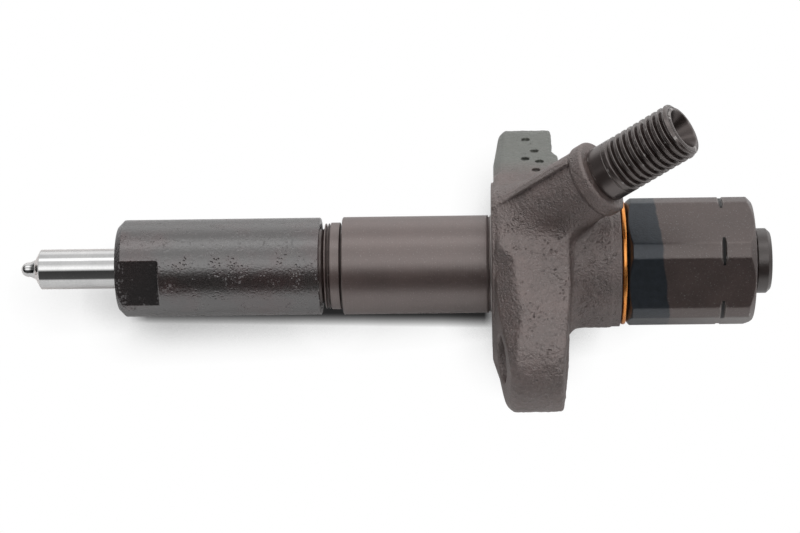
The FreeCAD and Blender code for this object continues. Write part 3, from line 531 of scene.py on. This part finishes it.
def surface(distance, low, high, step):
    """Points and quads where a distance is zero: one point in each cell the surface crosses."""
    axes = [np.arange(a, b + step, step) for a, b in zip(low, high)]
    shape = tuple(len(a) for a in axes)
    value = np.empty(shape)
    flat = np.stack(np.meshgrid(axes[1], axes[2], indexing="ij"), -1).reshape(-1, 2)
    for i, x in enumerate(axes[0]):
        value[i] = distance(np.column_stack([np.full(len(flat), x), flat])).reshape(shape[1:])
    inside = value < 0
    corner = list(product((0, 1), repeat=3))
    count = sum(inside[i:shape[0] - 1 + i, j:shape[1] - 1 + j, k:shape[2] - 1 + k].astype(np.int8)
                for i, j, k in corner)
    cells = np.argwhere((count > 0) & (count < 8))
    index = np.full(count.shape, -1)
    index[tuple(cells.T)] = np.arange(len(cells))
    values = np.stack([value[tuple((cells + c).T)] for c in corner], -1)
    total, hits = np.zeros((len(cells), 3)), np.zeros(len(cells))
    for a, b in product(range(8), repeat=2):
        ca, cb = np.array(corner[a]), np.array(corner[b])
        if (cb - ca).min() < 0 or (cb - ca).sum() != 1:
            continue
        va, vb = values[:, a], values[:, b]
        cross = (va < 0) != (vb < 0)
        t = va[cross] / (va[cross] - vb[cross])
        total[cross] += ca + np.outer(t, cb - ca)
        hits[cross] += 1
    points = (cells + total / hits[:, None]) * step + np.array([a[0] for a in axes])
    quads = []
    for axis in range(3):
        b, c = (axis + 1) % 3, (axis + 2) % 3
        first = np.take(inside, range(shape[axis] - 1), axis)
        second = np.take(inside, range(1, shape[axis]), axis)
        edges = np.argwhere(first != second)
        edges = edges[(edges[:, b] > 0) & (edges[:, c] > 0)
                      & (edges[:, b] < shape[b] - 1) & (edges[:, c] < shape[c] - 1)]
        ring = []
        for db, dc in ((-1, -1), (0, -1), (0, 0), (-1, 0)):
            cell = edges.copy()
            cell[:, b] += db
            cell[:, c] += dc
            ring.append(index[tuple(cell.T)])
        ring = np.stack(ring, -1)
        outward = first[tuple(edges.T)]
        quads.append(np.where(outward[:, None], ring, ring[:, ::-1]))
    return points, np.concatenate(quads)


def make_forging():
    """The forged flange, neck and inlet boss, with a rough skin, nicks and machined faces."""
    step = 0.25
    points, quads = surface(forging, (-40.5, -36.5, 83.1), (41.5, 20.0, 127.1), step)
    # Two steps along the slope bring the points onto the surface.
    for _ in range(2):
        g = slope(forging, points)
        miss = np.clip(forging(points), -step, step)
        points -= g * (miss / np.maximum((g * g).sum(-1), 0.2))[:, None]
    g = slope(forging, points)
    normals = g / np.maximum(np.linalg.norm(g, axis=1), 1e-6)[:, None]
    x, y, z = points.T
    away = np.hypot(x, y)
    q = points - INLET_FOOT
    along = q @ INLET_AXIS
    round_inlet = np.linalg.norm(q - np.outer(along, INLET_AXIS), axis=1)
    # Machined places stay smooth: the clamp face and boss, the neck's top, the bores and the turned end.
    skin = np.clip((z - 86.7) / 1.2, 0, 1) * np.clip((110.0 - z) / 0.5, 0, 1) * (away > 8)
    skin = np.where((round_inlet < 9.4) & (along > 20), np.clip((39.3 - along) / 0.3, 0, 1), skin)
    skin *= np.clip((np.hypot(np.abs(x) - BOLT_REACH, y) - BOLT_RADIUS - 0.2) / 0.5, 0, 1)
    calm = 1 - 0.55 * np.clip((10.0 - round_inlet) / 1.5, 0, 1) * (along > 16)
    relief = calm * (0.09 * lumps(points, 5.0, 2) + 0.12 * lumps(points + 50, 1.2, 3))
    points += normals * (relief * skin)[:, None]
    turned_down = np.clip((z - 110.0) / 0.3, 0, 1) * (away > 13.5) * (round_inlet > 8.9) * (z < 112.35)
    points -= normals * (0.2 * turned_down)[:, None]
    picks = rng.choice(len(points), 300, replace=False)
    picks = picks[skin[picks] > 0.9]
    sizes = rng.uniform(0.3, 0.9, len(picks))
    nicks(points, normals, points[picks], sizes, sizes * rng.uniform(0.08, 0.2, len(picks)))
    piece("holder_forging", points, quads.tolist(), forged, "holder_body")


def make_shank():
    """The joint thread's plain cylinder, the grooved band and the turned shank, with the spindle's bore."""
    line = line_through([
        (SPINDLE_BORE, 24.0), (8.8, 24.0), (9.3, 24.5), (9.3, 44.6), (8.3, 45.2), (8.3, 46.3),
        (9.55, 46.55, 0.1), (9.55, 46.8, 0.1), (8.9, 46.95), (8.9, 47.2), (9.6, 47.3, 0.1),
        (9.6, 47.45, 0.1), (9.2, 47.5), (9.2, 47.75), (9.75, 47.85, 0.1), (9.75, 49.9, 0.1),
        (9.0, 49.95), (9.0, 50.45), (SHANK_RADIUS - 0.2, 50.45), (SHANK_RADIUS, 50.65, 0.2),
        (SHANK_RADIUS, 83.0), (10.6, 83.05, 0.1), (10.6, 83.35, 0.1), (SHANK_RADIUS, 83.4),
        (SHANK_RADIUS, 83.9), (SPINDLE_BORE, 83.9)], closed=True)
    points = turned(line, 192)
    piece("holder_shank", points.reshape(-1, 3), sheet_faces(*points.shape[:2]), turned_grey,
          "holder_body")


def make_inlet_stub():
    """The screwed stub, with its 60 degree seat, bore and rounded thread."""
    angle = around(168)
    outer = line_through([
        (6.0, 41.5), (6.0, 43.1, 0.2), (6.35, 43.4, 0.2), (6.35, 46.4, 0.1), (6.1, 46.5), (6.1, 46.7),
        (STUB_RADIUS, 46.85), (STUB_RADIUS, 63.0, 0.2), (5.4, 63.9, 0.12)], step=0.075)
    inner = line_through([
        (5.4, 63.9), (4.5, 63.9, 0.12), (INLET_BORE, 60.7, 0.1), (INLET_BORE, 36.2), (6.0, 36.2)], step=0.5)
    radius, height = spread(outer, angle)
    fade = np.clip((height - 47.6) / 0.9, 0, 1)
    radius = np.minimum(radius, STUB_RADIUS - 0.97 * fade * thread_depth(height, angle, STUB_PITCH))
    bore_radius, bore_height = spread(inner[1:], angle)
    points = swept(np.concatenate([radius, bore_radius]), np.concatenate([height, bore_height]), angle)
    loop = np.concatenate([points, points[:1]])
    piece("inlet_stub", on_inlet(loop), sheet_faces(*loop.shape[:2]), stub_grey,
          "holder_body")


# ------------------------------------------------------------------ nozzle


def make_nozzle():
    """The polished stem with its front cone, concave root and spray dome."""
    dome_radius, dome_centre = 1.62, -20.9
    neck = [(dome_radius + 0.68 * t**1.8, dome_centre + 1.75 * t) for t in np.linspace(0, 1, 8)]
    dome = [(dome_radius * math.sin(a), dome_centre - dome_radius * math.cos(a))
            for a in np.linspace(0, math.pi / 2, 9)]
    outside = [(4.25, -18.05, 0.12), (4.5, -17.85, 0.12), (4.5, 3.8), (8.5, 4.0), (8.5, 24.0)]
    inside = [(3.0, 24.0), (3.0, 11.5), (4.1, 11.5), (4.1, 7.5), (2.35, 6.0), (2.35, -17.6),
              (0.6, -20.2), (0.6, -21.2), (0.0, -21.2)]
    points = turned(line_through(dome + neck[1:] + outside + inside, step=0.3), 128)
    piece("nozzle_stem", points.reshape(-1, 3), sheet_faces(*points.shape[:2]), polished,
          "nozzle_body")


def make_nozzle_nut():
    """The sleeve nut, its two spanner flats milled in and its skin dented."""
    columns = 320
    outer = line_through([
        (4.65, 0.0), (9.5, 0.0, 0.15), (NUT_RADIUS, 1.4, 0.3), (NUT_RADIUS, NUT_LENGTH - 0.2, 0.1),
        (NUT_RADIUS - 0.25, NUT_LENGTH, 0.1), (9.6, NUT_LENGTH)], step=0.22)
    inner = line_through([
        (9.6, NUT_LENGTH), (9.57, 22.5), (8.7, 22.5), (8.7, 4.0), (4.65, 4.0), (4.65, 0.0)], step=2.0)
    line = np.concatenate([outer, inner[1:]])
    points = turned(line, columns).reshape(-1, 3)
    outside = np.repeat(np.arange(len(line)) < len(outer), columns)
    x, y, z = points.T
    for angle in (FLATS_ANGLE, FLATS_ANGLE + math.pi):
        way = np.array([math.cos(angle), math.sin(angle), 0])
        depth = np.where(outside & (z < FLATS_TOP), points @ way - NUT_FLATS / 2, 0)
        points -= np.outer(np.maximum(depth, 0), way)
    normals = np.stack([x, y, 0 * z], -1) / np.hypot(x, y)[:, None]
    able = np.flatnonzero(outside & (z > 2) & (z < 45))
    picks = rng.choice(able, 260, replace=False)
    sizes = rng.uniform(0.2, 0.45, len(picks))
    nicks(points, normals, points[picks], sizes, sizes * rng.uniform(0.05, 0.2, len(picks)))
    piece("nozzle_nut_shell", points, sheet_faces(len(line), columns), oxide,
          "nozzle_nut")


# ------------------------------------------------------------------ cap end


def ring(name, line, material, slot, node, rough=0.0):
    """A washer turned from its section, with an uneven surface if rough is given."""
    count = 160
    points = turned(line_through(line, step=0.4, closed=True), count).reshape(-1, 3)
    if rough:
        points += rough * np.stack([lumps(points + k * 30, 3.0, 2) for k in range(3)], -1)
    piece(name, points, sheet_faces(len(points) // count, count), material, node)


def make_cap_nut():
    """Hexagon turned at both ends, with a notch round its corners, a plain bore and a top hole."""
    angle = around(360)
    off_flat = np.radians((np.degrees(angle) - CAP_TURN_DEGREES + 30) % 60 - 30)
    hexagon = CAP_FLATS / 2 / np.cos(off_flat)
    outer = line_through([
        (10.1, 113.4), (12.9, 113.4), (CAP_RADIUS, 114.6, 0.1), (CAP_RADIUS, NOTCH_LOW),
        (NOTCH_RADIUS, NOTCH_LOW + 0.05), (NOTCH_RADIUS, NOTCH_HIGH - 0.05), (CAP_RADIUS, NOTCH_HIGH),
        (CAP_RADIUS, 140.1, 0.3), (13.2, 141.5, 0.2), (5.2, 141.5)], step=0.3)
    inner = line_through([(5.2, 141.5), (5.2, 137.7), (10.05, 137.7), (10.05, 113.4)], step=2.0)
    radius, height = spread(np.concatenate([outer, inner[1:]]), angle)
    points = swept(smooth_min(radius, hexagon[None, :], 0.12), height, angle)
    piece("cap_nut_hexagon", points.reshape(-1, 3), sheet_faces(*points.shape[:2]), hexagon_grey,
          "cap_nut")


def make_adaptor():
    """The leak-off collar, with a screwed port and the spigot that holds it in the cap nut."""
    angle = around(128)
    outer = line_through([(1.5, 136.3), (4.6, 136.3), (5.0, 136.7), (5.0, 142.4), (7.1, 142.4, 0.1),
                          (7.25, 142.6, 0.1), (7.25, 144.8, 0.3), (6.4, 145.7, 0.15), (4.0, 145.7, 0.1),
                          (3.5, 145.2)], step=0.3)
    port = line_through([(3.5, 145.2), (3.5, 139.2)], step=0.06)
    floor = line_through([(3.5, 139.2), (1.5, 138.3), (1.5, 136.3)], step=0.5)
    radius, height = spread(np.concatenate([outer, port[1:], floor[1:]]), angle)
    threaded = slice(len(outer), len(outer) + len(port) - 1)
    radius[threaded] += 0.28 * (1 - thread_depth(height[threaded], angle, 1.0)) - 0.05
    points = swept(radius, height, angle)
    piece("leak_off_collar", points.reshape(-1, 3), sheet_faces(*points.shape[:2]), oxide_plain,
          "leak_off_adaptor")


make_forging()
make_shank()
make_inlet_stub()
make_nozzle()
make_nozzle_nut()
ring("copper_washer", [(11.4, 112.35, 0.15), (13.9, 112.35, 0.4), (13.9, 113.35, 0.4), (11.4, 113.35, 0.15)],
     copper, "copper", "cap_washer", rough=0.05)
make_cap_nut()
ring("port_washer", [(5.2, 141.55, 0.1), (7.15, 141.55, 0.2), (7.15, 142.35, 0.2), (5.2, 142.35, 0.1)],
     oxide_plain, "black_oxide_steel", "leak_off_washer")
make_adaptor()

slots = {part["node"]: part["material_slot"] for part in frame["record"]["subparts"]}
for name, node in frame["nodes"].items():
    node.data.materials.clear()
    node.data.materials.append(SLOT_FINISH.get(slots.get(name), ground))

# ------------------------------------------------------------------ camera, table and light

# The camera looks across the injector from between the near ear and the inlet, a little from the cap's
# end and slightly rolled. toward points from the injector to the camera and upward up the picture.
SIDE_ANGLE, END_ANGLE, ROLL = math.radians(44.0), math.radians(2.0), math.radians(0.72)
toward = np.array([math.sin(SIDE_ANGLE), -math.cos(SIDE_ANGLE), 0.0])
upward = np.array([-math.cos(SIDE_ANGLE), -math.sin(SIDE_ANGLE), 0.0])
back = math.sin(END_ANGLE) * UP + math.cos(END_ANGLE) * toward
level = math.cos(END_ANGLE) * UP - math.sin(END_ANGLE) * toward
right = math.cos(ROLL) * level - math.sin(ROLL) * upward
above = math.sin(ROLL) * level + math.cos(ROLL) * upward
eye = UP * CLAMP_FACE - 20.543 * right - 0.584 * above + 505.0 * back

lens = bpy.data.cameras.new("camera")
lens.lens, lens.sensor_width = 101.2, 36.0
lens.clip_start, lens.clip_end = 0.01, 20.0
camera = bpy.data.objects.new("camera", lens)
scene.collection.objects.link(camera)
facing = Matrix([right, above, back]).transposed().to_4x4()
camera.matrix_world = Matrix.Translation(Vector(eye * MM)) @ facing
scene.camera = camera

# The injector lies on the far ear's side and the nozzle nut's edge.
tilt = math.atan2(HUB_RADIUS - NUT_RADIUS, 85.0)
rest_side = np.array([math.sin(EAR_LEAN), -math.cos(EAR_LEAN), 0.0])
table_up = math.cos(tilt) * rest_side + math.sin(tilt) * UP
touch = -rest_side * 19.2 + UP * 86.0


def contact_shade(n):
    """Brightness of the table for the camera: darker close to the object and under the round sleeve.

    The sleeve's shadow narrows towards the nozzle, where the nut touches the table. It is drawn for views
    from the camera's side only.
    """
    geometry = n.add("ShaderNodeNewGeometry").outputs
    open_air = n.add("ShaderNodeAmbientOcclusion", {"Distance": 12 * MM}, samples=8).outputs["AO"]
    soft = n.ramp(open_air, (0.3, 0.3), (0.7, 0.88), (0.95, 1.0))
    front = n.step(n.dot(geometry["Incoming"], toward), 0.93, 0.975)
    along = n.dot(geometry["Position"], UP)
    across = n.math("ABSOLUTE", n.dot(geometry["Position"], np.cross(table_up, UP)))
    aside = n.math("ADD", across, n.math("MULTIPLY", along, 0.018))
    sleeve = n.math("MULTIPLY", front, n.inside_of(along, 0.5 * MM, 86 * MM, 4 * MM))
    open_side = n.math("POWER", n.step(aside, 3.7 * MM, 7.1 * MM), 1.8)
    dark = n.math("MULTIPLY", n.math("SUBTRACT", 1.0, open_side), 0.97)
    shade = n.math("SUBTRACT", 1.0, n.math("MULTIPLY", sleeve, dark))
    return n.mix(1.0, soft, shade, "MULTIPLY")


def make_paper():
    """The table's white paper: the camera sees its contact shade and other rays a diffuse sheet."""
    paper = bpy.data.materials.new("paper")
    n = Nodes(paper)
    behind = n.add("ShaderNodeNewGeometry").outputs["Backfacing"]
    seen = n.add("ShaderNodeLightPath").outputs["Is Camera Ray"]
    lit = n.add("ShaderNodeBsdfDiffuse", {"Color": grey(0.97)})
    shown = n.add("ShaderNodeEmission", {"Color": contact_shade(n), "Strength": 1.0})
    face = n.add("ShaderNodeMixShader", {0: seen, 1: lit.outputs[0], 2: shown.outputs[0]})
    clear = n.add("ShaderNodeBsdfTransparent")
    both = n.add("ShaderNodeMixShader", {0: behind, 1: face.outputs[0], 2: clear.outputs[0]})
    n.add("ShaderNodeOutputMaterial", {"Surface": both.outputs[0]})
    return paper


def make_table():
    """A square sheet under the injector, seen from above only."""
    half = 150.0 * MM
    corners = [(-half, -half, 0), (half, -half, 0), (half, half, 0), (-half, half, 0)]
    mesh = bpy.data.meshes.new("table")
    mesh.from_pydata(corners, [], [(0, 1, 2, 3)])
    mesh.materials.append(make_paper())
    table = bpy.data.objects.new("table", mesh)
    scene.collection.objects.link(table)
    turn = Vector(table_up).to_track_quat("Z", "Y").to_matrix().to_4x4()
    table.matrix_world = Matrix.Translation(Vector((touch - UP * 24.0) * MM)) @ turn


# Brightness of the surroundings by angle, in degrees from the camera towards the top of the picture.
GLOW = [
    (-180, 0.52), (-68, 0.45), (-58, 0.05), (-12, 0.03), (1, 0.8), (10, 0.8), (28, 0.45), (46, 0.45),
    (52, 0.95), (62, 0.95), (70, 0.42), (90, 0.42), (104, 0.62), (150, 0.62), (180, 0.52)]


def make_light():
    """Surroundings that light the injector by direction and show plain white to the camera."""
    world = bpy.data.worlds.new("studio")
    scene.world = world
    n = Nodes(world)
    ray = n.add("ShaderNodeTexCoord").outputs["Generated"]
    angle = n.math("ARCTAN2", n.dot(ray, upward), n.dot(ray, toward))
    turn = n.math("ADD", n.math("DIVIDE", angle, 2 * math.pi), 0.5)
    glow = n.ramp(turn, *((degrees / 360.0 + 0.5, value) for degrees, value in GLOW))
    side = n.dot(ray, UP)
    cap_end = n.math("SUBTRACT", 1.0, n.math("MULTIPLY", n.step(side, 0.75, 0.95), 0.5))
    fade = n.math("MULTIPLY", n.step(side, -0.85, -0.55), cap_end)
    strength = n.math("MULTIPLY", n.math("ADD", 0.1, n.math("MULTIPLY", fade, 0.9)), 1.8)
    lit = n.add("ShaderNodeBackground", {"Color": glow, "Strength": strength})
    plain = n.add("ShaderNodeBackground", {"Color": grey(1.0), "Strength": 1.0})
    seen = n.add("ShaderNodeLightPath").outputs["Is Camera Ray"]
    sky = n.add("ShaderNodeMixShader", {0: seen, 1: lit.outputs[0], 2: plain.outputs[0]})
    n.add("ShaderNodeOutputWorld", {"Surface": sky.outputs[0]})


make_table()
make_light()
scene.view_settings.view_transform = "Standard"
